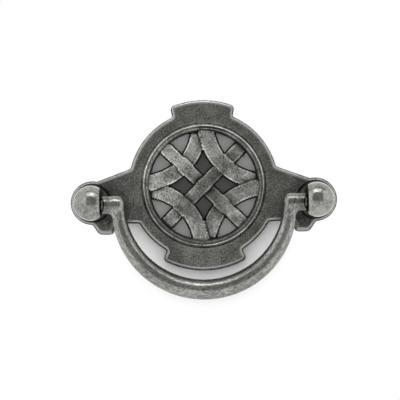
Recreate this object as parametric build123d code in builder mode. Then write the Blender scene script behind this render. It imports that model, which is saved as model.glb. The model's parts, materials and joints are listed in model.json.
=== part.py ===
import os
from math import acos, cos, degrees, radians, sin, sqrt, tan

from build123d import *

# Drop pull for a drawer or a cabinet door, in millimetres.
# X runs to the right, Z runs up and the front looks towards -Y.
# The origin lies on the mounting face, midway between the two mounting holes.
# A height is a distance from the mounting face towards the viewer.

# Mounting
post_spacing = 64.0
thread_radius = 1.65
thread_lead = 0.4
thread_wall = 0.8

# Back plate
plate_thickness = 3.0
plate_edge_round = 0.8
disc_radius = 21.5
disc_rise = 4.55
tab_reach = 3.0
tab_corner = 1.3
top_tab_width = 18.6
top_neck_width = 17.35
bottom_tab_width = 24.4
bottom_neck_width = 21.6
lobe_radius = 6.3
wing_slope = 20.0
wing_top_inset = 0.65
wing_bottom_inset = 0.2
lug_depth = 3.0
lug_inner = 6.1
lug_outer = 1.9
lug_slant = 2.2
lug_corner = 1.0
inside_corner = 0.7

# Medallion
ring_radius = 17.5
ring_width = 2.0
ring_height = 1.3
ring_crest_inset = 0.55
ring_crest_round = 0.3
ring_inner_drop = 0.7
dome_edge = 0.1
dome_rise = 2.2
weave_relief = 0.4
bar_width = 3.85
hoop_width = 4.6
hoop_radius = 16.3
hoop_setback = 8.9
hoop_lap_angle = 34.0
hoop_overrun_angle = 4.0
strip_bevel = 0.3
strip_overrun = 0.5
strap_thickness = 2.3
pocket_margin = 0.5

# Posts
ball_radius = 5.0
ball_flat = 2.7
collar_radius = 5.3
collar_height = 1.6
collar_round = 0.3
shank_radius = 3.0
shank_fit = 0.03
stake_flare = 0.6

# Bail
bow_radius = 24.35
bow_diameter = 5.7
leg_diameter = 3.75
stub_radius = 2.6
stub_round = 1.4
stub_chamfer = 0.25
stub_clearance = 0.3
pivot_drop = 0.64
trunnion_radius = 1.5
trunnion_length = 3.0
trunnion_fit = 0.06
end_play = 0.25
elbow_margin = 0.1
bow_section_step = 15

# Places that follow from the sizes above
post_x = post_spacing / 2
collar_top = plate_thickness + collar_height
pivot_height = collar_top + stub_clearance + stub_radius
flat_x = post_x - ball_flat
stub_end = flat_x - end_play
stub_start = bow_radius - leg_diameter / 2 - elbow_margin
bore_radius = trunnion_radius + trunnion_fit
thread_depth = pivot_height - bore_radius - thread_wall
shank_hole_radius = shank_radius + shank_fit
tab_radius = disc_radius + tab_reach
wing_top = lobe_radius - wing_top_inset
wing_bottom = lobe_radius - wing_bottom_inset
ring_inner = ring_radius - ring_width
weave_trim_radius = ring_inner + ring_width / 3
window_radius = ring_inner + ring_width * 2 / 3
hoop_offset = ring_inner + hoop_setback
crossing_reach = hoop_offset - hoop_radius
pocket_radius = ring_inner - pocket_margin
pocket_depth = plate_thickness + dome_edge + dome_rise - strap_thickness

os.makedirs("parts", exist_ok=True)


def turning_plane(x, z, side=1):
    """A plane through an axis that stands on the mounting face: radius along X, height along -Y."""
    return Plane(origin=(x, 0, z), x_dir=(side, 0, 0), z_dir=(0, 0, -side))


def standing_axis(x, z):
    """An axis that stands on the mounting face and points at the viewer."""
    return Axis((x, 0, z), (0, -1, 0))


# Back plate outline
def chord_height(half_width, radius):
    """Distance from a circle's centre at which it is this wide."""
    return sqrt(radius**2 - half_width**2)


def tab_face(tab_width, neck_width, direction):
    """One tab with rounded shoulders, flaring from its neck on the disc, with its origin at the disc's centre."""
    neck = direction * chord_height(neck_width / 2, disc_radius)
    shoulder = direction * chord_height(tab_width / 2, tab_radius)
    with BuildSketch() as tab:
        with BuildLine():
            Polyline(
                (-tab_width / 2, shoulder),
                (-neck_width / 2, neck),
                (0, 0),
                (neck_width / 2, neck),
                (tab_width / 2, shoulder),
            )
            ThreePointArc((tab_width / 2, shoulder), (0, direction * tab_radius), (-tab_width / 2, shoulder))
        make_face()
        shoulders = [v for v in tab.vertices() if abs(v.Y - shoulder) < 1e-6]
        fillet(shoulders, tab_corner)
    return tab.sketch


def lug_face(side):
    """The small lug under a wing, with rounded lower corners."""
    low = -wing_bottom - lug_depth
    outer = post_x - lug_outer
    inner = post_x - lug_inner
    with BuildSketch() as lug:
        with BuildLine():
            Polyline(
                (side * inner, 0),
                (side * inner, low),
                (side * outer, low),
                (side * (outer + lug_slant), -wing_bottom),
                (side * (outer + lug_slant), 0),
                close=True,
            )
        make_face()
        fillet([v for v in lug.vertices() if abs(v.Y - low) < 1e-6], lug_corner)
    return lug.sketch


def is_inside_corner(vertex):
    """Whether an outline vertex is a junction of two shapes, where the casting has a hollow corner."""
    on_disc = abs(sqrt(vertex.X**2 + (vertex.Y - disc_rise) ** 2) - disc_radius) < 1e-4
    on_lobe = abs(sqrt((abs(vertex.X) - post_x) ** 2 + vertex.Y**2) - lobe_radius) < 1e-4
    on_lug = abs(vertex.Y + wing_bottom) < 1e-4 and abs(abs(vertex.X) - post_x + lug_inner) < 1e-4
    return on_disc or on_lobe or on_lug


with BuildSketch(Plane.XZ) as plate_outline:
    with Locations((0, disc_rise)):
        Circle(disc_radius)
        add(tab_face(top_tab_width, top_neck_width, 1))
        add(tab_face(bottom_tab_width, bottom_neck_width, -1))
    with BuildLine():
        wing_root = wing_top + post_x * tan(radians(wing_slope))
        Polyline(
            (0, wing_root),
            (post_x, wing_top),
            (post_x, -wing_bottom),
            (-post_x, -wing_bottom),
            (-post_x, wing_top),
            close=True,
        )
    make_face()
    with Locations((-post_x, 0), (post_x, 0)):
        Circle(lobe_radius)
    for side in (-1, 1):
        add(lug_face(side))
    fillet(plate_outline.vertices().filter_by(is_inside_corner), inside_corner)


# Weave: two straight bars and four hoops that pass over and under each other
def dome_height(x, z):
    """Height of the medallion's domed mid-surface at a point measured from its centre."""
    return plate_thickness + dome_edge + dome_rise * (1 - (x**2 + z**2) / ring_inner**2)


def strip_section(x, z, along_x, along_z, width, level):
    """One bevelled cross-section of a strip, square to its run; level goes from -1, under, to 1, over."""
    top = dome_height(x, z) + level * weave_relief
    section_plane = Plane(
        origin=(x, 0, z + disc_rise), x_dir=(-along_z, 0, along_x), z_dir=(along_x, 0, along_z)
    )
    with BuildSketch(section_plane) as section:
        with BuildLine():
            Polyline(
                (-width / 2, 0),
                (-width / 2, top - strip_bevel),
                (-width / 2 + strip_bevel, top),
                (width / 2 - strip_bevel, top),
                (width / 2, top - strip_bevel),
                (width / 2, 0),
                close=True,
            )
        make_face()
    return section.sketch


def blended(levels):
    """Levels at a run's crossings, with the mean of each neighbouring pair put between them."""
    stations = [levels[0]]
    for before, after in zip(levels, levels[1:]):
        stations += [(before + after) / 2, after]
    return stations


def bar_sections(heading, levels):
    """Sections of a straight bar through the medallion's centre."""
    along_x = cos(radians(heading))
    along_z = sin(radians(heading))
    bar_end = weave_trim_radius + strip_overrun
    half_runs = [crossing_reach / 2, crossing_reach, (crossing_reach + bar_end) / 2, bar_end]
    runs = [-run for run in reversed(half_runs)] + [0] + half_runs
    sections = []
    for run, level in zip(runs, blended(levels)):
        sections.append(strip_section(run * along_x, run * along_z, along_x, along_z, bar_width, level))
    return sections


def hoop_sections(bearing, levels):
    """Sections of a hoop that bows towards the medallion's centre from a centre outside it."""
    outer_radius = hoop_radius + hoop_width / 2
    reach_squared = hoop_offset**2 + outer_radius**2 - weave_trim_radius**2
    hoop_end = degrees(acos(reach_squared / (2 * hoop_offset * outer_radius))) + hoop_overrun_angle
    half_turns = [hoop_lap_angle / 2, hoop_lap_angle, hoop_end]
    turns = [-turn for turn in reversed(half_turns)] + [0] + half_turns
    stations = [levels[0]] + blended(levels) + [levels[-1]]
    sections = []
    for turn, level in zip(turns, stations):
        facing = radians(bearing + 180 + turn)
        x = hoop_offset * cos(radians(bearing)) + hoop_radius * cos(facing)
        z = hoop_offset * sin(radians(bearing)) + hoop_radius * sin(facing)
        sections.append(strip_section(x, z, -sin(facing), cos(facing), hoop_width, level))
    return sections


# Each row is a direction in degrees and the levels at the crossings along the run
bars = [(-45, (0, 1, -1, 1, 0)), (45, (0, -1, 1, -1, 0))]
hoops = [(45, (1, 1, -1)), (135, (1, -1, -1)), (225, (1, 1, -1)), (315, (1, -1, -1))]

with BuildPart() as weave:
    for heading, levels in bars:
        loft(bar_sections(heading, levels))
    for bearing, levels in hoops:
        loft(hoop_sections(bearing, levels))
    with BuildSketch(Plane.XZ):
        with Locations((0, disc_rise)):
            Circle(weave_trim_radius)
    extrude(amount=plate_thickness + dome_edge + dome_rise + 2 * weave_relief, mode=Mode.INTERSECT)
    pocket_sphere = (pocket_radius**2 + pocket_depth**2) / (2 * pocket_depth)
    with Locations((0, pocket_sphere - pocket_depth, disc_rise)):
        Sphere(pocket_sphere, mode=Mode.SUBTRACT)

# Back plate casting
with BuildPart() as backplate:
    extrude(plate_outline.sketch, amount=plate_thickness)
    rim = backplate.faces().sort_by(Axis.Y)[0].outer_wire().edges()
    fillet(rim, plate_edge_round)
    with BuildSketch(Plane.XZ):
        with Locations((0, disc_rise)):
            Circle(window_radius)
    extrude(amount=plate_thickness, mode=Mode.SUBTRACT)
    with BuildSketch(turning_plane(0, disc_rise)) as ring_profile:
        crest = plate_thickness + ring_height
        with BuildLine():
            Polyline(
                (ring_inner, 0),
                (ring_radius, 0),
                (ring_radius, plate_thickness),
                (ring_radius - ring_crest_inset, crest),
                (ring_inner, crest - ring_inner_drop),
                close=True,
            )
        make_face()
        fillet(ring_profile.vertices().sort_by(Axis.Y)[-1], ring_crest_round)
    revolve(axis=standing_axis(0, disc_rise))
    add(weave.part)
    with BuildSketch(Plane.XZ):
        with Locations((-post_x, 0), (post_x, 0)):
            Circle(shank_hole_radius)
    extrude(amount=plate_thickness, mode=Mode.SUBTRACT)
    hole_edges = backplate.edges().filter_by(GeomType.CIRCLE).group_by(lambda edge: edge.radius)
    shank_edges = min(hole_edges, key=lambda group: abs(group[0].radius - shank_hole_radius))
    chamfer(shank_edges.group_by(Axis.Y)[-1], stake_flare)
backplate.part.label = "backplate"
export_step(backplate.part, "parts/backplate.step")


# Posts: a ball on a collar, with a flat and a cross bore for the bail, and a shank staked into the plate
def post_profile(side):
    """Half section of a post, to be turned about the post's own axis."""
    neck_radius = chord_height(pivot_height - collar_top, ball_radius)
    with BuildSketch(turning_plane(side * post_x, 0, side)) as profile:
        with BuildLine():
            Polyline(
                (0, pivot_height + ball_radius),
                (0, 0),
                (shank_radius + stake_flare, 0),
                (shank_radius, stake_flare),
                (shank_radius, plate_thickness),
                (collar_radius, plate_thickness),
                (collar_radius, collar_top),
                (neck_radius, collar_top),
            )
            ThreePointArc(
                (neck_radius, collar_top), (ball_radius, pivot_height), (0, pivot_height + ball_radius)
            )
        make_face()
        fillet(profile.vertices().sort_by_distance((collar_radius, collar_top))[0], collar_round)
    return profile.sketch


def notch_face(side):
    """The piece taken off a ball's inner side, down to the collar, to make its flat."""
    with BuildSketch(Plane.XZ.offset(collar_top)) as notch:
        with Locations((side * (flat_x - ball_radius), 0)):
            Rectangle(2 * ball_radius, 3 * ball_radius)
    return notch.sketch


def bore_face(side):
    """The mouth of the cross bore in a ball's flat."""
    mouth = Plane(origin=(side * flat_x, -pivot_height, -pivot_drop), x_dir=(0, 0, 1), z_dir=(side, 0, 0))
    with BuildSketch(mouth) as bore:
        Circle(bore_radius)
    return bore.sketch


def thread_profile(side):
    """Half section of the tapped hole's core with its lead-in, to be cut from the back of a post."""
    with BuildSketch(turning_plane(side * post_x, 0, side)) as profile:
        with BuildLine():
            Polyline(
                (0, 0),
                (thread_radius + thread_lead, 0),
                (thread_radius, thread_lead),
                (thread_radius, thread_depth),
                (0, thread_depth),
                close=True,
            )
        make_face()
    return profile.sketch


with BuildPart() as left_post:
    revolve(post_profile(-1), axis=standing_axis(-post_x, 0))
    extrude(notch_face(-1), amount=2 * ball_radius, mode=Mode.SUBTRACT)
    extrude(bore_face(-1), amount=trunnion_length, mode=Mode.SUBTRACT)
    revolve(thread_profile(-1), axis=standing_axis(-post_x, 0), mode=Mode.SUBTRACT)
left_post.part.label = "left_post"
export_step(left_post.part, "parts/left_post.step")

with BuildPart() as right_post:
    revolve(post_profile(1), axis=standing_axis(post_x, 0))
    extrude(notch_face(1), amount=2 * ball_radius, mode=Mode.SUBTRACT)
    extrude(bore_face(1), amount=trunnion_length, mode=Mode.SUBTRACT)
    revolve(thread_profile(1), axis=standing_axis(post_x, 0), mode=Mode.SUBTRACT)
right_post.part.label = "right_post"
export_step(right_post.part, "parts/right_post.step")


# Bail: a tapering bow between two stubs, each with a trunnion that turns in a post
def bow_section(angle):
    """The bow's round section at an angle from its lowest point, thickest there."""
    across = sin(radians(angle))
    down = cos(radians(angle))
    section_plane = Plane(
        origin=(bow_radius * across, -pivot_height, -pivot_drop - bow_radius * down),
        x_dir=(0, -1, 0),
        z_dir=(down, 0, across),
    )
    with BuildSketch(section_plane) as section:
        Circle((leg_diameter + (bow_diameter - leg_diameter) * down) / 2)
    return section.sketch


def stub_profile(side):
    """Half section of a stub and its trunnion, to be turned about the pivot axis."""
    pivot_plane = Plane(
        origin=(0, -pivot_height, -pivot_drop), x_dir=(side, 0, 0), z_dir=(0, -side, 0)
    )
    with BuildSketch(pivot_plane) as profile:
        with BuildLine():
            Polyline(
                (stub_start, 0),
                (stub_end + trunnion_length, 0),
                (stub_end + trunnion_length, trunnion_radius),
                (stub_end, trunnion_radius),
                (stub_end, stub_radius),
                (stub_start, stub_radius),
                close=True,
            )
        make_face()
        fillet(profile.vertices().sort_by_distance((stub_start, stub_radius))[0], stub_round)
        chamfer(profile.vertices().sort_by_distance((stub_end, stub_radius))[0], stub_chamfer)
    return profile.sketch


pivot_axis = Axis((0, -pivot_height, -pivot_drop), (1, 0, 0))

with BuildPart() as bail:
    loft([bow_section(angle) for angle in range(-90, 91, bow_section_step)])
    for side in (-1, 1):
        revolve(stub_profile(side), axis=pivot_axis)
bail.part.label = "bail"
export_step(bail.part, "parts/bail.step")
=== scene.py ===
"""Looks of the drop pull: antiqued pewter castings in soft studio light.

Lengths are in metres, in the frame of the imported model: X to the right, Z up, the front towards -Y.
"""

from __future__ import annotations

import json
import logging
import math
from dataclasses import dataclass
from enum import Enum
from typing import Any, Sequence

import bmesh
import bpy
import numpy as np
from mathutils import Matrix, Vector
from mathutils.kdtree import KDTree

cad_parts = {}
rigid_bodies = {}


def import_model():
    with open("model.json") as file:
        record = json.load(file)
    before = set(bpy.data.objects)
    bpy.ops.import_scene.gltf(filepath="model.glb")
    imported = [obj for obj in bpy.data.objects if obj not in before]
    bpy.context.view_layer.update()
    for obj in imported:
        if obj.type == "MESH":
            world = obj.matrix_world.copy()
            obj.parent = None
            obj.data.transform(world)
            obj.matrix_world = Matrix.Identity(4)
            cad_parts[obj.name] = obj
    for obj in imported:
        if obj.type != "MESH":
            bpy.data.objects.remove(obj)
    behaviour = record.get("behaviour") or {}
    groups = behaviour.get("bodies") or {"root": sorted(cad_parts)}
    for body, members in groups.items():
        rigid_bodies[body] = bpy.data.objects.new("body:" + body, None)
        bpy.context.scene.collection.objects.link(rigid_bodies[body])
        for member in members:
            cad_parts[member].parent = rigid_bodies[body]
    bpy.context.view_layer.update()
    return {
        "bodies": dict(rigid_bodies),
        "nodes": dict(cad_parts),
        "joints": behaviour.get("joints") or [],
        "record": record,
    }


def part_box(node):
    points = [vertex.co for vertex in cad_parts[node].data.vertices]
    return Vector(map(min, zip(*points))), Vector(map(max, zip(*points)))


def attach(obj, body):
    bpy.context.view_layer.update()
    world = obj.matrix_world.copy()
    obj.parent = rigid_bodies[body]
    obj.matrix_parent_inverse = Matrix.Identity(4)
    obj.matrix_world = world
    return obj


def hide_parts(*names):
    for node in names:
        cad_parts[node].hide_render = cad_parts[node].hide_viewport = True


LOG = logging.getLogger("drop_pull")
MM = 0.001
POST_X = 32.0 * MM
MEDALLION_Z = 4.55 * MM
FAR = 1.0
MERGE_DISTANCE = 0.0005 * MM
SMOOTH_FACTOR = 0.5
PASSES_AT_ONE_VOXEL = 4.0
FEWEST_PASSES = 2
NOISE_MEAN = 0.5
WARM_GREY = (1.0, 1.005, 0.93)
# Limits that lie below or above every distance and height on the pull
BELOW_ALL = (-2.0, -1.0)
ABOVE_ALL = (1.0, 2.0)
ANYWHERE = (*BELOW_ALL, *ABOVE_ALL)
FRONT = (2.2 * MM, 2.8 * MM, *ABOVE_ALL)
FRONT_PLANE = np.array((1.0, 0.0, 1.0), np.float32)
Colour = tuple[float, float, float]
Span = tuple[float, float]
Band = tuple[float, float, float, float]


class Socket:
    """A shader socket that takes part in Python expressions."""

    def __init__(self, graph: Graph, socket: bpy.types.NodeSocket) -> None:
        """Keep the socket and the graph that it belongs to."""
        self.graph = graph
        self.socket = socket

    def __add__(self, other: float | Socket) -> Socket:
        """Sum of two values."""
        return self.graph.math("ADD", self, other)

    def __radd__(self, other: float) -> Socket:
        """Sum of a number and this value."""
        return self.graph.math("ADD", other, self)

    def __sub__(self, other: float | Socket) -> Socket:
        """Difference of two values."""
        return self.graph.math("SUBTRACT", self, other)

    def __rsub__(self, other: float) -> Socket:
        """A number less this value."""
        return self.graph.math("SUBTRACT", other, self)

    def __mul__(self, other: float | Socket) -> Socket:
        """Product of two values."""
        return self.graph.math("MULTIPLY", self, other)

    def __rmul__(self, other: float) -> Socket:
        """Product of a number and this value."""
        return self.graph.math("MULTIPLY", other, self)

    def clamped(self) -> Socket:
        """This value held between 0 and 1."""
        return self.graph.add("ShaderNodeClamp", None, {0: self})

    def larger(self, other: float | Socket) -> Socket:
        """The larger of two values."""
        return self.graph.math("MAXIMUM", self, other)

    def rise(self, low: float, high: float) -> Socket:
        """A smooth step from 0 at low to 1 at high."""
        limits = {"Value": self, "From Min": low, "From Max": high}
        return self.graph.add("ShaderNodeMapRange", {"interpolation_type": "SMOOTHSTEP"}, limits)

    def fall(self, low: float, high: float) -> Socket:
        """A smooth step from 1 at low to 0 at high."""
        return 1.0 - self.rise(low, high)


class Graph:
    """A node tree that is filled by expressions."""

    def __init__(self, tree: bpy.types.NodeTree) -> None:
        """Empty the tree."""
        self.tree = tree
        tree.nodes.clear()

    def add(
        self,
        node_type: str,
        settings: dict[str, Any] | None = None,
        inputs: dict[int | str, Any] | None = None,
        output: int | str = 0,
    ) -> Socket | None:
        """Add a node.

        Args:
            node_type: The node's type name.
            settings: Properties that are set before its sockets.
            inputs: A value or a Socket for each input, by name or by place.
            output: The output to hand back, by name or by place.

        Returns:
            The chosen output, or None where the node has no outputs.
        """
        node = self.tree.nodes.new(node_type)
        for name, value in (settings or {}).items():
            setattr(node, name, value)
        for key, value in (inputs or {}).items():
            if isinstance(value, Socket):
                self.tree.links.new(value.socket, node.inputs[key])
            else:
                node.inputs[key].default_value = value
        return Socket(self, node.outputs[output]) if len(node.outputs) else None

    def math(self, operation: str, *values: float | Socket) -> Socket:
        """Add a Math node on the values, in order."""
        return self.add("ShaderNodeMath", {"operation": operation}, dict(enumerate(values)))

    def mix(
        self,
        share: Socket,
        first: Sequence[float] | Socket,
        second: Sequence[float] | Socket,
    ) -> Socket:
        """Blend two colours.

        Args:
            share: How much of the second colour shows.
            first: The colour at a share of 0.
            second: The colour at a share of 1.

        Returns:
            The blended colour.
        """
        sides = {0: share, 6: opaque(first), 7: opaque(second)}
        return self.add("ShaderNodeMix", {"data_type": "RGBA"}, sides, 2)

    def noise(self, place: Socket, grain: float, detail: float = 2.0, roughness: float = 0.5) -> Socket:
        """Add a noise pattern.

        Args:
            place: The coordinates that the pattern follows.
            grain: Size of the pattern's largest spots.
            detail: Number of finer layers.
            roughness: How strong the finer layers are.

        Returns:
            A value around 0.5.
        """
        sizes = {"Vector": place, "Scale": 1.0 / grain, "Detail": detail, "Roughness": roughness}
        return self.add("ShaderNodeTexNoise", None, sizes)

    def attribute(self, name: str) -> Socket:
        """Read a number that the mesh stores at its points."""
        return self.add("ShaderNodeAttribute", {"attribute_name": name}, None, "Fac")

    def position(self) -> Socket:
        """The point on the piece, in the shared frame."""
        return self.add("ShaderNodeTexCoord", None, None, "Object")

    def axes(self, point: Socket) -> tuple[Socket, Socket, Socket]:
        """The three coordinates of a point."""
        return tuple(self.add("ShaderNodeSeparateXYZ", None, {0: point}, axis) for axis in range(3))

    def distance(self, point: Socket, x: float, z: float) -> Socket:
        """Measure how far a point lies from an axis that stands on the mounting face.

        Args:
            point: The point's coordinates.
            x: The axis's place across.
            z: The axis's place up.

        Returns:
            The distance, as seen from the front.
        """
        flattening = {0: point, 1: (1.0, 0.0, 1.0)}
        flat = self.add("ShaderNodeVectorMath", {"operation": "MULTIPLY"}, flattening)
        ends = {0: flat, 1: (x, 0.0, z)}
        return self.add("ShaderNodeVectorMath", {"operation": "DISTANCE"}, ends, "Value")


def opaque(colour: Sequence[float] | Socket) -> Sequence[float] | Socket:
    """Give a plain colour its alpha, and pass a socket on."""
    return colour if isinstance(colour, Socket) else (*colour, 1.0)


class Grain(Enum):
    """How a finish was polished, which sets how its mottling runs."""

    TUMBLED = "even spots"
    WIPED = "streaks along the bow"


class Tint(Enum):
    """What a zone does to the finish."""

    # Dark zones: patina the metal holds, and painted shade in crevices, under parts and beside edges.
    GRIME_AND_SHADE = "holds dark patina"
    # Bright zones: metal bright from wear, and painted highlights and painted light on sides facing the
    # lamps.
    RUBBED_AND_LIT = "is rubbed bright"


class Keep(Enum):
    """Which side of a round cut a casting keeps, as the Boolean modifier names it."""

    INSIDE = "INTERSECT"
    OUTSIDE = "DIFFERENCE"


class Reading(Enum):
    """What is read at a mesh's points, as the mesh names it."""

    PLACE = "co"
    NORMAL = "normal"


@dataclass(frozen=True)
class Zone:
    """A round zone about an axis that stands on the mounting face, between two radii and two heights."""

    x: float
    z: float
    radii: Band
    tint: Tint = Tint.GRIME_AND_SHADE
    strength: float = 1.0
    heights: Band = ANYWHERE

    def mask(self, graph: Graph, point: Socket) -> Socket:
        """How far a point lies in the zone.

        Args:
            graph: The finish's graph.
            point: The point's coordinates.

        Returns:
            The zone's strength inside it, and 0 outside.
        """
        radius = graph.distance(point, self.x, self.z)
        height = 0.0 - graph.axes(point)[1]
        around = radius.rise(*self.radii[:2]) * radius.fall(*self.radii[2:])
        along = height.rise(*self.heights[:2]) * height.fall(*self.heights[2:])
        return around * along * self.strength


@dataclass(frozen=True)
class Pewter:
    """An antiqued metal: dark patina left in the hollows, bright from wear on the ridges, with painted
    shade and painted highlights along its lines and in its zones.
    """

    name: str
    metal: Colour
    patina: Colour
    # Bright metal, for wear on ridges and edges and for painted highlights and painted light in bright
    # zones.
    rubbed_and_lit: Colour
    patina_share: float
    contrast: float
    gloss: float
    patina_roughness: float = 0.12
    wear_polish: float = 0.05
    # Near-black, for patina in hollows and for painted shade along lines, at steps, in dips and in dark
    # zones.
    grime_and_shade: Colour = (0.02, 0.02, 0.019)
    wear_contrast: float = 0.6
    fleck_gain: float = 0.0
    grain: Grain = Grain.TUMBLED
    spot: float = 0.6 * MM
    blotch: float = 2.2 * MM
    cloud: float = 8.0 * MM
    spot_gain: float = 4.0
    blotch_gain: float = 1.4
    cloud_gain: float = 1.4
    pit_depth: float = 0.03 * MM
    ridge_span: Span = (0.02, 0.08)
    ridge_wear: float = 0.5
    hollow_span: Span = (0.02, 0.16)
    hollow_grime: float = 0.6
    # Painted shade: dark lines beside steep walls; line_lean keeps them to walls that do not face up
    # towards the light, line_zone to a part of the piece.
    line_span: Span = BELOW_ALL
    line_lean: Span = (2.0, 3.0)
    # Painted contact shadow on a lower strip beside the step of the strip that crosses over it.
    step_span: Span = BELOW_ALL
    step_shade: float = 0.85
    # Dirt and painted shade on a lower strip, fading with distance from the strip that crosses over it.
    dip_span: Span = BELOW_ALL
    dip_dirt_and_shade: float = 0.0
    line_zone: Zone | None = None
    # Bright lines on the crests of edges: edge wear, and partly a painted highlight where bevels catch the
    # light.
    crest_span: Band = (0.1, 0.3, 0.6, 0.9)
    crest_wear_and_highlight: float = 0.0
    crest_zone: Zone | None = None
    zones: tuple[Zone, ...] = ()
    swing_centre: float = -0.64 * MM
    bow_radius: float = 24.35 * MM
    streak: float = 2.0

    def place(self, graph: Graph, point: Socket) -> Socket:
        """Find the coordinates of the mottling, drawn out along the bow on a wiped finish.

        Args:
            graph: The finish's graph.
            point: The point's coordinates.

        Returns:
            The coordinates that the noise follows.
        """
        if self.grain is Grain.TUMBLED:
            return point
        across, depth, height = graph.axes(point)
        radius = graph.distance(point, 0.0, self.swing_centre)
        angle = graph.math("ARCTAN2", across, self.swing_centre - height)
        along = angle * (self.bow_radius / self.streak)
        return graph.add("ShaderNodeCombineXYZ", None, {0: along, 1: radius, 2: depth})

    def tinted(self, graph: Graph, point: Socket, tint: Tint) -> Socket | float:
        """The sum of the zones with one tint."""
        masks = [zone.mask(graph, point) for zone in self.zones if zone.tint is tint]
        return sum(masks[1:], masks[0]) if masks else 0.0

    def held_grime_and_shade(self, graph: Graph, point: Socket) -> Socket:
        """Find where dark colour goes: painted shade along lines at walls and at steps, patina in hollows,
        dirt and painted shade in dips, and dark zones of patina and painted shade.

        Args:
            graph: The finish's graph.
            point: The point's coordinates.

        Returns:
            The share of dark colour: patina, dirt and painted shade.
        """
        # Painted shade: dark lines beside steep walls, on the plate only by walls that do not face up, and
        # painted contact shadow beside the steps where strips cross.
        line = graph.attribute("edge").fall(*self.line_span)
        line = line * graph.attribute("edge_lean").fall(*self.line_lean)
        line = line.larger(graph.attribute("step").fall(*self.step_span) * self.step_shade)
        if self.line_zone:
            line = line * self.line_zone.mask(graph, point)
        hollow = (0.0 - graph.attribute("hollow")).rise(*self.hollow_span) * self.hollow_grime
        dip = graph.attribute("dip").fall(*self.dip_span) * self.dip_dirt_and_shade
        return (line + hollow + dip + self.tinted(graph, point, Tint.GRIME_AND_SHADE)).clamped()

    def wear_and_light_share(self, graph: Graph, point: Socket, grain: Socket) -> Socket:
        """Find where bright metal shows: wear on ridges and in flecks, edge crests with wear and painted
        highlights, and bright zones of wear and painted light.

        Args:
            graph: The finish's graph.
            point: The point's coordinates.
            grain: The mottling, around 0.

        Returns:
            The share of bright metal.
        """
        ridge = graph.attribute("ridge").rise(*self.ridge_span) * self.ridge_wear
        edge = graph.attribute("edge")
        crest = edge.rise(*self.crest_span[:2]) * edge.fall(*self.crest_span[2:]) * self.crest_wear_and_highlight
        if self.crest_zone:
            crest = crest * self.crest_zone.mask(graph, point)
        rubbed_and_lit = self.tinted(graph, point, Tint.RUBBED_AND_LIT)
        flecks = grain * (1.0 + rubbed_and_lit * self.fleck_gain) * self.wear_contrast
        return (ridge + crest + rubbed_and_lit + flecks).clamped()

    def material(self) -> bpy.types.Material:
        """Build the finish.

        Returns:
            A material that reads the piece's stored relief.
        """
        material = bpy.data.materials.new(self.name)
        material.use_nodes = True
        graph = Graph(material.node_tree)
        point = graph.position()
        place = self.place(graph, point)
        spots = graph.noise(place, self.spot, roughness=0.6)
        blotches = graph.noise(place, self.blotch)
        clouds = graph.noise(point, self.cloud, detail=1.0)
        grain = (spots - NOISE_MEAN) * self.spot_gain
        grain = grain + (blotches - NOISE_MEAN) * self.blotch_gain
        grain = grain + (clouds - NOISE_MEAN) * self.cloud_gain
        grime_and_shade = self.held_grime_and_shade(graph, point)
        worn_and_lit = self.wear_and_light_share(graph, point, grain)
        dark = (self.patina_share - grain * self.contrast).clamped()
        # The bright colour carries wear and painted highlights; the near-black one carries patina and
        # painted shade.
        colour = graph.mix(worn_and_lit, graph.mix(dark, self.metal, self.patina), self.rubbed_and_lit)
        colour = graph.mix(grime_and_shade, colour, self.grime_and_shade)
        rough = (self.gloss + dark * self.patina_roughness - worn_and_lit * self.wear_polish).clamped()
        relief = {"Strength": 1.0, "Distance": self.pit_depth, "Height": spots + blotches}
        bump = graph.add("ShaderNodeBump", None, relief)
        surface = {"Base Color": colour, "Metallic": 1.0, "Roughness": rough, "Normal": bump}
        metal = graph.add("ShaderNodeBsdfPrincipled", None, surface)
        graph.add("ShaderNodeOutputMaterial", None, {"Surface": metal})
        return material


@dataclass(frozen=True)
class Blend:
    """A spot, on both sides of the pull, where a casting is rounded off and swollen to keep its bulk."""

    x: float
    z: float
    reach: float
    radius: float
    swell: float
    fade: float = 0.45


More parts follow.
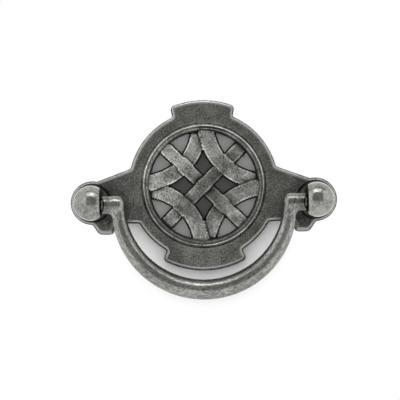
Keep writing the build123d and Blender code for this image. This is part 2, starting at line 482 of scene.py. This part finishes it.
@dataclass
class Casting:
    """One cast piece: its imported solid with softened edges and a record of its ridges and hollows."""

    name: str
    node: str
    body: str
    slot: str
    finish: Pewter
    voxel: float
    soften: int = 3
    ridge_reach: float = 0.3 * MM
    hollow_reach: float = 0.8 * MM
    side_reach: float = 0.1 * MM
    wall_facing: float = 0.0
    step_facing: float = 0.0

    def build(self, frame: dict[str, Any]) -> bpy.types.Object:
        """Make the piece from its solid.


        Returns:
            The finished object, which rides on its body.
        """
        piece = self.merged_copy(frame["nodes"][self.node])
        self.cut(piece)
        self.recast(piece)
        self.shape(piece)
        self.store_relief(piece, "ridge", self.ridge_reach)
        self.store_relief(piece, "hollow", self.hollow_reach)
        normals = self.relaxed(piece, self.passes(self.side_reach), Reading.NORMAL)
        self.store_sides(piece, -normals[:, 1])
        self.dress(piece)
        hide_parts(self.node)
        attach(piece, self.body)
        return piece

    def merged_copy(self, solid: bpy.types.Object) -> bpy.types.Object:
        """Copy a solid's mesh and join its loose triangles.

        Args:
            solid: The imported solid's object.

        Returns:
            A new object with a closed mesh.
        """
        mesh = bpy.data.meshes.new(self.name)
        shell = bmesh.new()
        shell.from_mesh(solid.data)
        bmesh.ops.remove_doubles(shell, verts=shell.verts, dist=MERGE_DISTANCE)
        shell.to_mesh(mesh)
        shell.free()
        piece = bpy.data.objects.new(self.name, mesh)
        bpy.context.scene.collection.objects.link(piece)
        return piece

    def cut(self, piece: bpy.types.Object) -> None:
        """Cut away what another piece shows."""

    def recast(self, piece: bpy.types.Object) -> None:
        """Give the piece an even skin of small faces, with its edges slightly rounded.

        Args:
            piece: The object to change.
        """
        skin = piece.modifiers.new("skin", "REMESH")
        skin.mode = "VOXEL"
        skin.voxel_size = self.voxel
        self.apply(piece)
        self.move(piece, self.relaxed(piece, self.soften))

    def apply(self, piece: bpy.types.Object) -> None:
        """Make the piece's modifiers part of its mesh.

        Args:
            piece: The object to change.
        """
        graph = bpy.context.evaluated_depsgraph_get()
        rough = piece.data
        piece.data = bpy.data.meshes.new_from_object(piece.evaluated_get(graph))
        piece.modifiers.clear()
        bpy.data.meshes.remove(rough)
        piece.data.name = self.name

    def shape(self, piece: bpy.types.Object) -> None:
        """Change the skin where the piece has detail finer than its solid."""

    def blend(self, piece: bpy.types.Object, spot: Blend) -> None:
        """Round the piece off about a spot and its mirror image.

        Args:
            piece: The object to change.
            spot: Where and how far the skin is rounded.
        """
        points = self.points(piece)
        near = np.hypot(np.abs(points[:, 0]) - spot.x, points[:, 2] - spot.z)
        share = np.clip((spot.reach - near) / (spot.fade * spot.reach), 0.0, 1.0)
        share = (share * share * (3.0 - 2.0 * share))[:, None]
        smooth = self.relaxed(piece, self.passes(spot.radius))
        smooth += self.points(piece, Reading.NORMAL) * spot.swell
        self.move(piece, points * (1.0 - share) + smooth * share)

    def points(self, piece: bpy.types.Object, kind: Reading = Reading.PLACE) -> np.ndarray:
        """Read the piece's points or their normals.

        Args:
            piece: The object to read.
            kind: Whether the points or their normals are read.

        Returns:
            One row of three numbers for each point.
        """
        rows = np.zeros(len(piece.data.vertices) * 3, np.float32)
        piece.data.vertices.foreach_get(kind.value, rows)
        return rows.reshape(-1, 3)

    def move(self, piece: bpy.types.Object, points: np.ndarray) -> None:
        """Move the piece's points to new places, but not out of its solid's box.

        Args:
            piece: The object to change.
            points: The new places, as rows.
        """
        low, high = (np.array(corner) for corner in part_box(self.node))
        piece.data.vertices.foreach_set("co", np.clip(points, low, high).astype(np.float32).ravel())
        piece.data.update()

    def relaxed(
        self,
        piece: bpy.types.Object,
        passes: int,
        kind: Reading = Reading.PLACE,
    ) -> np.ndarray:
        """Find where the piece's points go when its surface is smoothed.

        Args:
            piece: The object to smooth, which stays as it is.
            passes: Number of smoothing passes.
            kind: Whether the smoothed points or their normals are read.

        Returns:
            The points or the normals, as rows.
        """
        softened = piece.modifiers.new("softened", "SMOOTH")
        softened.factor = SMOOTH_FACTOR
        softened.iterations = passes
        graph = bpy.context.evaluated_depsgraph_get()
        smooth = piece.evaluated_get(graph).data
        rows = np.zeros(len(smooth.vertices) * 3, np.float32)
        smooth.vertices.foreach_get(kind.value, rows)
        piece.modifiers.clear()
        return rows.reshape(-1, 3)

    def passes(self, reach: float) -> int:
        """Smoothing passes that spread over a given reach."""
        return max(FEWEST_PASSES, round(PASSES_AT_ONE_VOXEL * (reach / self.voxel) ** 2))

    def store(self, piece: bpy.types.Object, name: str, values: np.ndarray) -> None:
        """Store a number at each of the piece's points."""
        stored = piece.data.attributes.new(name, "FLOAT", "POINT")
        stored.data.foreach_set("value", values.astype(np.float32))

    def store_relief(self, piece: bpy.types.Object, name: str, reach: float) -> None:
        """Store at each point how far it stands out from its surroundings.

        Args:
            piece: The object to measure.
            name: Name of the stored values, in millimetres, above 0 on ridges and below 0 in hollows.
            reach: Radius of the surroundings.
        """
        shift = self.points(piece) - self.relaxed(piece, self.passes(reach))
        self.store(piece, name, (shift * self.points(piece, Reading.NORMAL)).sum(1) / MM)

    def walls(self, piece: bpy.types.Object, facing: np.ndarray) -> np.ndarray:
        """Which points lie on the steep walls round the piece, by how squarely they face the front."""
        return np.abs(facing) < self.wall_facing

    def store_sides(self, piece: bpy.types.Object, facing: np.ndarray) -> None:
        """Store how far off the nearest wall and the nearest lesser step are, and how the wall leans.

        Args:
            piece: The object to measure.
            facing: How squarely each point faces the front, from -1 to 1.
        """
        nearest, distances = self.nearest_side(piece, self.walls(piece, facing))
        self.store(piece, "edge", distances / MM)
        self.store(piece, "edge_lean", self.points(piece, Reading.NORMAL)[nearest, 2])
        _, distances = self.nearest_side(piece, np.abs(facing) < self.step_facing)
        self.store(piece, "step", distances / MM)

    def nearest_side(self, piece: bpy.types.Object, sides: np.ndarray) -> tuple[np.ndarray, np.ndarray]:
        """Find the steep side that is nearest to each point, seen from the front.

        Args:
            piece: The object to measure.
            sides: Which points lie on steep sides.

        Returns:
            The number of each point's nearest side point, and its distance.
        """
        flat = self.points(piece) * FRONT_PLANE
        nearest = np.arange(len(flat))
        distances = np.zeros(len(flat))
        tree = KDTree(int(sides.sum()))
        for index in np.flatnonzero(sides):
            tree.insert(flat[index], index)
        tree.balance()
        if sides.any():
            for index in np.flatnonzero(~sides):
                _, nearest[index], distances[index] = tree.find(flat[index])
        return nearest, distances

    def dress(self, piece: bpy.types.Object) -> None:
        """Give the piece its finish.

        Args:
            piece: The object to dress.
        """
        piece.data.materials.clear()
        piece.data.materials.append(self.finish.material())
        piece.data.shade_smooth()


@dataclass
class RoundCut(Casting):
    """A casting that is cut along a circle, and keeps what lies inside it or outside it."""

    centre_z: float = MEDALLION_Z
    radius: float = 17.62 * MM
    keep: Keep = Keep.INSIDE
    cutter_sides: int = 192
    cutter_length: float = 40.0 * MM
    ring_growth: float = 0.25 * MM
    ring_span: Band = (15.6 * MM, 16.6 * MM, 17.9 * MM, 19.6 * MM)

    def cut(self, piece: bpy.types.Object) -> None:
        """Cut the piece with a round cutter that stands on the mounting face.

        Args:
            piece: The object to change.
        """
        shell = bmesh.new()
        bmesh.ops.create_cone(
            shell,
            cap_ends=True,
            segments=self.cutter_sides,
            radius1=self.radius,
            radius2=self.radius,
            depth=self.cutter_length,
        )
        bmesh.ops.rotate(shell, matrix=Matrix.Rotation(math.pi / 2, 3, "X"), verts=shell.verts)
        bmesh.ops.translate(shell, vec=(0.0, 0.0, self.centre_z), verts=shell.verts)
        mesh = bpy.data.meshes.new("cutter")
        shell.to_mesh(mesh)
        shell.free()
        cutter = bpy.data.objects.new("cutter", mesh)
        bpy.context.scene.collection.objects.link(cutter)
        cutting = piece.modifiers.new("cutting", "BOOLEAN")
        cutting.operation = self.keep.value
        cutting.solver = "EXACT"
        cutting.object = cutter
        self.apply(piece)
        bpy.data.objects.remove(cutter)
        bpy.data.meshes.remove(mesh)

    def radius_of(self, points: np.ndarray) -> np.ndarray:
        """How far each point lies from the circle's axis."""
        return np.hypot(points[:, 0], points[:, 2] - self.centre_z)

    def shape(self, piece: bpy.types.Object) -> None:
        """Draw the ring's crest outwards, where a cast ring is full.

        Args:
            piece: The object to change.
        """
        points = self.points(piece)
        radius = self.radius_of(points)
        growth = np.interp(radius, self.ring_span, (0.0, self.ring_growth, self.ring_growth, 0.0))
        outward = (points - np.array((0.0, 0.0, self.centre_z))) * FRONT_PLANE
        self.move(piece, points + outward * (growth / np.maximum(radius, MM))[:, None])


@dataclass
class Backplate(RoundCut):
    """The plate round the medallion, with soft lugs under its lobes."""

    keep: Keep = Keep.OUTSIDE
    lug: Blend = Blend(28.6 * MM, -7.6 * MM, 3.6 * MM, 0.8 * MM, 0.15 * MM)

    def shape(self, piece: bpy.types.Object) -> None:
        """Round the lugs off."""
        super().shape(piece)
        self.blend(piece, self.lug)


@dataclass
class Medallion(RoundCut):
    """The woven medallion in its ring, which bulges like a shallow dome."""

    dome_top: float = 5.3 * MM
    dome_rise: float = 2.2 * MM
    dome_radius: float = 15.5 * MM
    strip_drop: float = 0.9 * MM
    swell: float = 0.35 * MM
    swell_radius: float = 15.4 * MM
    side_facing: float = 0.75
    side_fade: float = 0.4
    front_facing: float = 0.2
    wall_clear: float = 0.8 * MM

    def shape(self, piece: bpy.types.Object) -> None:
        """Swell the sides of the woven strips a little, so that the openings have soft lips.

        Args:
            piece: The object to change.
        """
        super().shape(piece)
        points = self.points(piece)
        normals = self.points(piece, Reading.NORMAL)
        inside = self.radius_of(points) < self.swell_radius
        aside = np.clip((self.side_facing - np.abs(normals[:, 1])) / self.side_fade, 0.0, 1.0)
        self.move(piece, points + normals * (aside * inside * self.swell)[:, None])

    def below_dome(self, piece: bpy.types.Object) -> np.ndarray:
        """Find the points that lie well below the dome that the strips follow.

        Args:
            piece: The object to measure.

        Returns:
            A yes or no for each point.
        """
        points = self.points(piece)
        dome = self.dome_top - self.dome_rise * (self.radius_of(points) / self.dome_radius) ** 2
        return -points[:, 1] < dome - self.strip_drop

    def walls(self, piece: bpy.types.Object, facing: np.ndarray) -> np.ndarray:
        """Which points lie on the walls of the openings, well below the dome."""
        return super().walls(piece, facing) & self.below_dome(piece)

    def store_sides(self, piece: bpy.types.Object, facing: np.ndarray) -> None:
        """Store also how far each point of a lower strip is from the strip that crosses over it.

        Args:
            piece: The object to measure.
            facing: How squarely each point faces the front, from -1 to 1.
        """
        super().store_sides(piece, facing)
        points = self.points(piece)
        _, clear = self.nearest_side(piece, self.walls(piece, facing))
        inside = (self.radius_of(points) < self.swell_radius) & ~self.below_dome(piece)
        front = facing > self.front_facing
        steps = (facing < self.step_facing) & (clear > self.wall_clear) & inside & front
        nearest, distances = self.nearest_side(piece, steps)
        across = (points - points[nearest]) * self.points(piece, Reading.NORMAL)[nearest] * FRONT_PLANE
        lower = (across.sum(1) > 0.0) & inside & front
        self.store(piece, "dip", np.where(lower, distances, FAR) / MM)


@dataclass
class Post(Casting):
    """A ball post, whose tapped hole has its thread cut from the back."""

    axis_x: float = POST_X
    core_radius: float = 1.65 * MM
    wall_shares: Span = (0.8, 1.06)
    thread_height: float = 0.33 * MM
    thread_pitch: float = 0.7 * MM
    thread_start: float = 0.4 * MM
    thread_end: float = 4.7 * MM

    def shape(self, piece: bpy.types.Object) -> None:
        """Cut a helical groove into the wall of the tapped hole.

        Args:
            piece: The object to change.
        """
        points = self.points(piece)
        outward = points - np.array((self.axis_x, 0.0, 0.0), np.float32)
        outward[:, 1] = 0.0
        radius = np.linalg.norm(outward, axis=1)
        height = -points[:, 1]
        turn = np.arctan2(outward[:, 2], outward[:, 0]) / (2.0 * math.pi)
        phase = (height / self.thread_pitch - turn) % 1.0
        groove = self.thread_height * (1.0 - np.abs(2.0 * phase - 1.0))
        ends = np.clip((height - self.thread_start) / self.thread_pitch, 0.0, 1.0)
        ends *= np.clip((self.thread_end - height) / self.thread_pitch, 0.0, 1.0)
        inner, outer = (self.core_radius * share for share in self.wall_shares)
        wall = (radius > inner) & (radius < outer)
        points += outward / np.maximum(radius, MM)[:, None] * (groove * ends * wall)[:, None]
        self.move(piece, points)


@dataclass
class Bail(Casting):
    """The swinging bail, whose legs flow into its stubs round a soft elbow."""

    elbow: Blend = Blend(23.5 * MM, -1.0 * MM, 4.6 * MM, 1.8 * MM, 0.4 * MM)

    def shape(self, piece: bpy.types.Object) -> None:
        """Round the elbows off."""
        self.blend(piece, self.elbow)


@dataclass
class StudioSweep:
    """The pale paper that the pull lies on, curving out to a floor."""

    gap: float = 0.2 * MM
    half_width: float = 1.5
    height: float = 1.0
    drop: float = 0.14
    bend: float = 0.1
    depth: float = 1.2
    steps: int = 24
    # Painted light: the paper goes from shade on the left to far_shade on the right.
    shade: Colour = (0.97, 0.97, 0.97)
    far_shade: Colour = (0.89, 0.89, 0.89)
    shade_span: Span = (-24.0 * MM, 24.0 * MM)
    footprint: Span = (21.5 * MM, 27.5 * MM)
    footprint_z: float = -4.5 * MM
    # Painted shade on the paper behind the medallion's openings, and darker behind its heart.
    window_shade: Colour = (0.88, 0.86, 0.84)
    window: Span = (17.0 * MM, 19.0 * MM)
    heart_shade: Colour = (0.33, 0.32, 0.31)
    heart: Span = (9.0 * MM, 10.0 * MM)
    heart_z: float = MEDALLION_Z
    passed_span: Span = (0.4, 0.6)

    def build(self) -> bpy.types.Object:
        """Make the sweep.

        Returns:
            The stage object.
        """
        rows = self.steps + 2
        shell = bmesh.new()
        bmesh.ops.create_grid(shell, x_segments=1, y_segments=rows, size=1.0)
        for vertex in shell.verts:
            y, z = self.profile(round((vertex.co.y + 1.0) / 2.0 * rows))
            vertex.co = (vertex.co.x * self.half_width, y, z)
        mesh = bpy.data.meshes.new("studio_sweep")
        shell.to_mesh(mesh)
        shell.free()
        mesh.shade_smooth()
        mesh.materials.append(self.material())
        sweep = bpy.data.objects.new("studio_sweep", mesh)
        bpy.context.scene.collection.objects.link(sweep)
        return sweep

    def profile(self, row: int) -> tuple[float, float]:
        """Place one row of the paper, from the floor's front edge to the top.

        Args:
            row: The row's number, 0 at the front edge and steps + 2 at the top.

        Returns:
            The row's y and z.
        """
        if row == 0:
            return self.gap - self.bend - self.depth, -self.drop
        if row == self.steps + 2:
            return self.gap, self.height
        turn = (row - 1) / self.steps * math.pi / 2
        y = self.gap - self.bend * (1.0 - math.sin(turn))
        return y, self.bend * (1.0 - math.cos(turn)) - self.drop

    def material(self) -> bpy.types.Material:
        """Pale paper, with painted shade behind the medallion and painted light falling off from left to
        right, that is open to views and light from behind.

        Returns:
            The sweep's material.
        """
        material = bpy.data.materials.new("studio_paper")
        material.use_nodes = True
        graph = Graph(material.node_tree)
        point = graph.position()
        radius = graph.distance(point, 0.0, self.heart_z)
        # Painted light and shade: lighter to the left, darker behind the openings, darker still behind the
        # heart.
        shade = graph.mix(graph.axes(point)[0].rise(*self.shade_span), self.shade, self.far_shade)
        shade = graph.mix(radius.fall(*self.window), shade, self.window_shade)
        shade = graph.mix(radius.fall(*self.heart), shade, self.heart_shade)
        matt = {"Base Color": shade, "Roughness": 1.0, "Specular IOR Level": 0.0}
        paper = graph.add("ShaderNodeBsdfPrincipled", None, matt)
        kinds = ("Is Camera Ray", "Is Glossy Ray", "Is Transmission Ray")
        rays = [graph.add("ShaderNodeLightPath", None, None, kind) for kind in kinds]
        seen = sum(rays[1:], rays[0]).clamped()
        beyond = graph.distance(point, 0.0, self.footprint_z).rise(*self.footprint)
        far = beyond * radius.rise(*self.window)
        white = graph.add("ShaderNodeEmission", None, {"Strength": 1.0})
        paper = graph.add("ShaderNodeMixShader", None, {0: far * seen, 1: paper, 2: white})
        crossings = graph.add("ShaderNodeLightPath", None, None, "Transparent Depth")
        passed = crossings.rise(*self.passed_span)
        behind = graph.add("ShaderNodeNewGeometry", None, None, "Backfacing").larger(passed)
        clear = graph.add("ShaderNodeBsdfTransparent")
        surface = graph.add("ShaderNodeMixShader", None, {0: behind, 1: paper, 2: clear})
        graph.add("ShaderNodeOutputMaterial", None, {"Surface": surface})
        return material


@dataclass
class Card:
    """A plain card of one brightness that the metal mirrors and the camera doesn't see."""

    name: str
    low: Vector
    high: Vector
    radiance: float

    def build(self) -> bpy.types.Object:
        """Stand the card between two opposite corners.

        Returns:
            The stage object.
        """
        shell = bmesh.new()
        bmesh.ops.create_cube(shell, size=1.0)
        bmesh.ops.scale(shell, vec=self.high - self.low, verts=shell.verts)
        bmesh.ops.translate(shell, vec=(self.low + self.high) / 2, verts=shell.verts)
        mesh = bpy.data.meshes.new(self.name)
        shell.to_mesh(mesh)
        shell.free()
        material = bpy.data.materials.new(self.name)
        material.use_nodes = True
        graph = Graph(material.node_tree)
        glow = graph.add("ShaderNodeEmission", None, {"Strength": self.radiance})
        graph.add("ShaderNodeOutputMaterial", None, {"Surface": glow})
        mesh.materials.append(material)
        card = bpy.data.objects.new(self.name, mesh)
        card.visible_camera = False
        card.visible_diffuse = False
        bpy.context.scene.collection.objects.link(card)
        return card


@dataclass
class SoftBox:
    """A lamp with an even, rectangular front that hangs over the pull and faces it."""

    name: str
    size: tuple[float, float]
    radiance: float
    distance: float = 0.5
    angle: float = 60.0
    shift: float = 0.0

    def build(self) -> bpy.types.Object:
        """Hang the lamp at its angle above the line of sight.

        Returns:
            The lamp's object.
        """
        lamp = bpy.data.lights.new(self.name, "AREA")
        lamp.shape = "RECTANGLE"
        lamp.size, lamp.size_y = self.size
        lamp.energy = self.radiance * math.pi * lamp.size * lamp.size_y
        hung = bpy.data.objects.new(self.name, lamp)
        angle = math.radians(self.angle)
        away = Vector((0.0, -math.cos(angle), math.sin(angle)))
        hung.location = away * self.distance + Vector((self.shift, 0.0, 0.0))
        hung.rotation_mode = "QUATERNION"
        hung.rotation_quaternion = away.to_track_quat("Z", "Y")
        hung.visible_camera = False
        bpy.context.scene.collection.objects.link(hung)
        return hung


@dataclass
class Studio:
    """White surroundings, two soft boxes overhead, and grey cards above the pull and behind the camera."""

    surround: float = 1.1
    lamps: tuple[SoftBox, ...] = (
        SoftBox("wide_box", size=(0.42, 0.18), radiance=1.3, shift=0.02),
        SoftBox("key_box", size=(0.18, 0.13), radiance=0.8, distance=0.52),
    )
    cards: tuple[Card, ...] = (
        Card(
            "camera_card",
            low=Vector((-0.35, -0.602, -0.17)),
            high=Vector((0.50, -0.6, 0.62)),
            radiance=0.34,
        ),
        Card(
            "ceiling_card",
            low=Vector((-0.7, -0.12, 0.62)),
            high=Vector((0.7, 0.9, 0.622)),
            radiance=0.35,
        ),
    )

    def build(self) -> None:
        """Light the scene."""
        self.white_world()
        for piece in (*self.lamps, *self.cards):
            piece.build()

    def white_world(self) -> None:
        """Surround the pull with even white light."""
        world = bpy.data.worlds.new("white_studio")
        world.use_nodes = True
        graph = Graph(world.node_tree)
        even = {"Color": (1.0, 1.0, 1.0, 1.0), "Strength": self.surround}
        light = graph.add("ShaderNodeBackground", None, even)
        graph.add("ShaderNodeOutputWorld", None, {"Surface": light})
        bpy.context.scene.world = world


@dataclass
class PhotoCamera:
    """A camera straight in front of the pull, turned and placed as the photograph frames it."""

    distance: float = 0.35
    focal_pixels: float = 1210.0
    image_width: float = 400.0
    sensor: float = 36.0
    roll: float = 1.0
    origin_pixel: tuple[float, float] = (203.85, 201.2)
    nearest: float = 0.01

    def build(self) -> bpy.types.Object:
        """Make the camera and use it for the scene.

        Returns:
            The camera object.
        """
        data = bpy.data.cameras.new("photo_camera")
        data.sensor_width = self.sensor
        data.lens = self.focal_pixels * self.sensor / self.image_width
        data.clip_start = self.nearest
        camera = bpy.data.objects.new("photo_camera", data)
        roll = math.radians(self.roll)
        right = Vector((math.cos(roll), 0.0, -math.sin(roll)))
        up = Vector((math.sin(roll), 0.0, math.cos(roll)))
        back = Vector((0.0, -1.0, 0.0))
        metres_per_pixel = self.distance / self.focal_pixels
        across = (self.origin_pixel[0] - self.image_width / 2) * metres_per_pixel
        down = (self.origin_pixel[1] - self.image_width / 2) * metres_per_pixel
        place = back * self.distance - right * across + up * down
        turn = Matrix((right, up, back)).transposed().to_4x4()
        camera.matrix_world = Matrix.Translation(place) @ turn
        bpy.context.scene.collection.objects.link(camera)
        bpy.context.scene.camera = camera
        return camera


def pewter(level: float) -> Colour:
    """A grey of the metal's slightly warm tint."""
    return tuple(level * share for share in WARM_GREY)


def disc(x: float, z: float, inner: float, outer: float, tint: Tint, strength: float) -> Zone:
    """A round zone on the front that fades out between two radii, given in millimetres like its centre."""
    return Zone(x * MM, z * MM, (*BELOW_ALL, inner * MM, outer * MM), tint, strength, FRONT)


def pair(x: float, z: float, inner: float, outer: float, tint: Tint, strength: float) -> list[Zone]:
    """The same round zone on the left and on the right of the pull."""
    return [disc(side * x, z, inner, outer, tint, strength) for side in (-1, 1)]


def ring(radii: Band, tint: Tint, strength: float = 1.0) -> Zone:
    """A band round the medallion's centre, with its radii in millimetres."""
    return Zone(0.0, MEDALLION_Z, tuple(radius * MM for radius in radii), tint, strength)


def plate_finish() -> Pewter:
    """Make the plate's finish: black round the posts with patina and painted shadow, bright shoulders from
    wear and painted highlights, and painted shade along the outer sides that lean down.

    Returns:
        The finish.
    """
    # Patina and painted shadow in the crevices round the posts, and painted shadow on the plate beside
    # them.
    crevices = pair(32.0, 0.0, 5.3, 5.8, Tint.GRIME_AND_SHADE, 0.9)
    shadows = pair(29.0, -1.0, 5.0, 9.0, Tint.GRIME_AND_SHADE, 0.38)
    top_tab = disc(0.0, 24.0, 3.0, 11.0, Tint.RUBBED_AND_LIT, 0.2)
    bottom_tab = disc(0.0, -15.0, 3.0, 11.0, Tint.RUBBED_AND_LIT, 0.3)
    # Painted reflection: the lugs' lower faces are lighter, as if they mirrored the pale paper; their lips
    # are darker.
    lugs = pair(28.2, -8.8, 1.0, 2.5, Tint.RUBBED_AND_LIT, 0.4)
    lips = pair(28.6, -9.4, 1.5, 3.5, Tint.GRIME_AND_SHADE, 0.25)
    ring_foot = ring((*BELOW_ALL, 18.2, 19.0), Tint.RUBBED_AND_LIT, 0.17)
    outer_rim = Zone(0.0, MEDALLION_Z, (18.6 * MM, 19.4 * MM, *ABOVE_ALL), Tint.RUBBED_AND_LIT)
    return Pewter(
        "plate_pewter",
        metal=pewter(0.29),
        patina=pewter(0.07),
        rubbed_and_lit=pewter(0.56),
        patina_share=0.54,
        contrast=0.45,
        wear_contrast=0.35,
        gloss=0.3,
        spot=0.5 * MM,
        line_span=(0.05, 0.25),
        line_lean=(-0.2, 0.5),
        # Painted shade: dark lines only along the outer walls of the disc and the tabs.
        line_zone=ring((18.6, 19.4, 26.0, 29.0), Tint.GRIME_AND_SHADE, 0.85),
        crest_span=(0.05, 0.25, 0.6, 0.95),
        crest_wear_and_highlight=1.0,
        crest_zone=outer_rim,
        zones=(*crevices, *shadows, top_tab, bottom_tab, *lugs, *lips, ring_foot),
    )


def medallion_finish() -> Pewter:
    """Make the medallion's finish: bright crests and flecks from wear, painted light towards the upper
    left and the ring, painted shade in the middle, and painted shadow lines round the strips and under the
    crossings.

    Returns:
        The finish.
    """
    return Pewter(
        "medallion_pewter",
        metal=pewter(0.34),
        patina=pewter(0.1),
        rubbed_and_lit=pewter(0.88),
        patina_share=0.5,
        contrast=0.3,
        wear_contrast=0.28,
        fleck_gain=2.4,
        gloss=0.33,
        spot=0.46 * MM,
        cloud=4.0 * MM,
        cloud_gain=2.0,
        ridge_span=(0.005, 0.05),
        ridge_wear=0.6,
        hollow_grime=0.5,
        line_span=(0.36, 0.59),
        step_span=(0.02, 0.18),
        dip_span=(0.1, 2.2),
        dip_dirt_and_shade=0.42,
        # Painted shadow lines round the strips stop inside the ring.
        line_zone=ring((*BELOW_ALL, 15.6, 15.9), Tint.GRIME_AND_SHADE),
        crest_span=(0.49, 0.61, 0.67, 0.94),
        crest_wear_and_highlight=0.25,
        crest_zone=ring((*BELOW_ALL, 15.2, 15.6), Tint.RUBBED_AND_LIT),
        zones=(
            # Darker bands inside the ring and across its top, and a lighter band on its crest.
            ring((15.5, 15.75, 16.05, 16.3), Tint.GRIME_AND_SHADE, 0.7),
            ring((16.25, 16.45, 16.85, 17.05), Tint.GRIME_AND_SHADE, 0.68),
            ring((16.9, 17.1, 17.6, 17.8), Tint.RUBBED_AND_LIT, 0.12),
            # Darker near the top of the ring.
            disc(3.0, 22.0, 2.0, 8.0, Tint.GRIME_AND_SHADE, 0.3),
            # Painted shade: the middle of the weave is darker.
            ring((*BELOW_ALL, 3.0, 9.0), Tint.GRIME_AND_SHADE, 0.3),
            # Painted light: the weave is lighter to the upper left, at the top, to the right and towards
            # the ring.
            disc(-10.0, 9.0, 4.0, 15.0, Tint.RUBBED_AND_LIT, 0.43),
            disc(1.0, 16.0, 4.0, 10.0, Tint.RUBBED_AND_LIT, 0.33),
            disc(11.0, 4.0, 3.0, 9.0, Tint.RUBBED_AND_LIT, 0.2),
            ring((6.0, 11.0, 15.0, 16.0), Tint.RUBBED_AND_LIT, 0.08),
        ),
    )


def post_finish(side: int, patina_share: float, gloss: float) -> Pewter:
    """Make a post's finish, with a black foot of patina and painted shadow, and a bright line round the
    ball's rim from polish and a painted highlight.

    Args:
        side: -1 for the left post, or 1 for the right one.
        patina_share: How much of the ball has kept its patina.
        gloss: The bare metal's roughness.

    Returns:
        The finish.
    """
    x = side * POST_X
    low = (*BELOW_ALL, 4.9 * MM, 5.6 * MM)
    high = (5.0 * MM, 5.6 * MM, *ABOVE_ALL)
    # Patina and painted shadow: the foot is darker and the crevice round it black.
    foot = Zone(x, 0.0, ANYWHERE, strength=0.5, heights=low)
    crevice = Zone(x, 0.0, (4.8 * MM, 5.1 * MM, *ABOVE_ALL), heights=low)
    # A bright line round the ball's rim: polish and a painted highlight.
    rim = Zone(x, 0.0, (4.55 * MM, 4.8 * MM, *ABOVE_ALL), Tint.RUBBED_AND_LIT, 0.7, high)
    return Pewter(
        "post_pewter",
        metal=pewter(0.36),
        patina=pewter(0.1),
        rubbed_and_lit=pewter(0.6),
        patina_share=patina_share,
        contrast=0.5,
        wear_contrast=0.2,
        gloss=gloss,
        pit_depth=0.022 * MM,
        blotch=2.0 * MM,
        blotch_gain=2.2,
        zones=(foot, crevice, rim),
    )


def bail_finish() -> Pewter:
    """Make the bail's finish, wiped along the bow and dark inside it, with painted shade on the stubs and
    the bow's outer edge, and painted highlights at the stub ends and the bow's bottom.

    Returns:
        The finish.
    """
    groove = (3.5 * MM, 3.65 * MM, 3.85 * MM, 4.0 * MM)
    # Painted shade: the stubs are darker low down.
    stubs = pair(27.2, -1.3, 1.6, 2.4, Tint.GRIME_AND_SHADE, 0.12)
    # Painted highlight at each stub end by the ball, with a painted shadow line just inside it.
    lips = pair(32.0, -0.6, 3.25, 3.55, Tint.RUBBED_AND_LIT, 0.9)
    groove_shadows = [Zone(side * POST_X, -0.6 * MM, groove) for side in (-1, 1)]
    inside = disc(0.0, -0.64, 21.3, 23.8, Tint.GRIME_AND_SHADE, 0.37)
    # Painted shade: the bow's outer edge and the stubs are dimmed.
    outside = Zone(0.0, -0.64 * MM, (26.0 * MM, 27.2 * MM, *ABOVE_ALL), strength=0.35)
    elbows = pair(23.5, -2.0, 2.0, 5.0, Tint.RUBBED_AND_LIT, 0.16)
    leg = disc(22.0, -11.0, 3.0, 9.0, Tint.RUBBED_AND_LIT, 0.16)
    # Painted highlight: brighter at the bottom of the bow, left of the middle.
    bottom = disc(-4.0, -22.8, 2.0, 5.5, Tint.RUBBED_AND_LIT, 0.35)
    return Pewter(
        "bail_pewter",
        metal=pewter(0.38),
        patina=pewter(0.11),
        rubbed_and_lit=pewter(0.55),
        patina_share=0.35,
        contrast=0.5,
        wear_contrast=0.45,
        gloss=0.21,
        pit_depth=0.04 * MM,
        grain=Grain.WIPED,
        spot=0.45 * MM,
        blotch=1.2 * MM,
        blotch_gain=0.9,
        streak=2.5,
        zones=(*stubs, *lips, *groove_shadows, inside, outside, *elbows, leg, bottom),
    )


def castings() -> list[Casting]:
    """List the pull's pieces, in the order that they are built.

    Returns:
        The pieces, not yet built.
    """
    plate = ("backplate", "plate", "plate_pewter")
    post = ("plate", "post_pewter")
    left = post_finish(-1, patina_share=0.28, gloss=0.2)
    right = post_finish(1, patina_share=0.2, gloss=0.15)
    return [
        Backplate("backplate_casting", *plate, plate_finish(), voxel=0.2 * MM, wall_facing=0.78),
        Medallion(
            "medallion_casting",
            *plate,
            medallion_finish(),
            voxel=0.19 * MM,
            soften=6,
            wall_facing=0.4,
            step_facing=0.92,
        ),
        Post("left_post_casting", "left_post", *post, left, voxel=0.12 * MM, axis_x=-POST_X),
        Post("right_post_casting", "right_post", *post, right, voxel=0.12 * MM, axis_x=POST_X),
        Bail("bail_casting", "bail", "bail", "bail_pewter", bail_finish(), voxel=0.15 * MM),
    ]


def main() -> None:
    """Build the pull, the studio and the camera."""
    logging.basicConfig(level=logging.INFO, format="%(name)s: %(message)s")
    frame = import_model()
    for casting in castings():
        piece = casting.build(frame)
        LOG.info("%s: %d faces", piece.name, len(piece.data.polygons))
    for setting in (StudioSweep(), Studio(), PhotoCamera()):
        setting.build()
        LOG.info("%s: in place", type(setting).__name__)
    bpy.context.scene.view_settings.view_transform = "Standard"


if __name__ == "__main__":
    main()
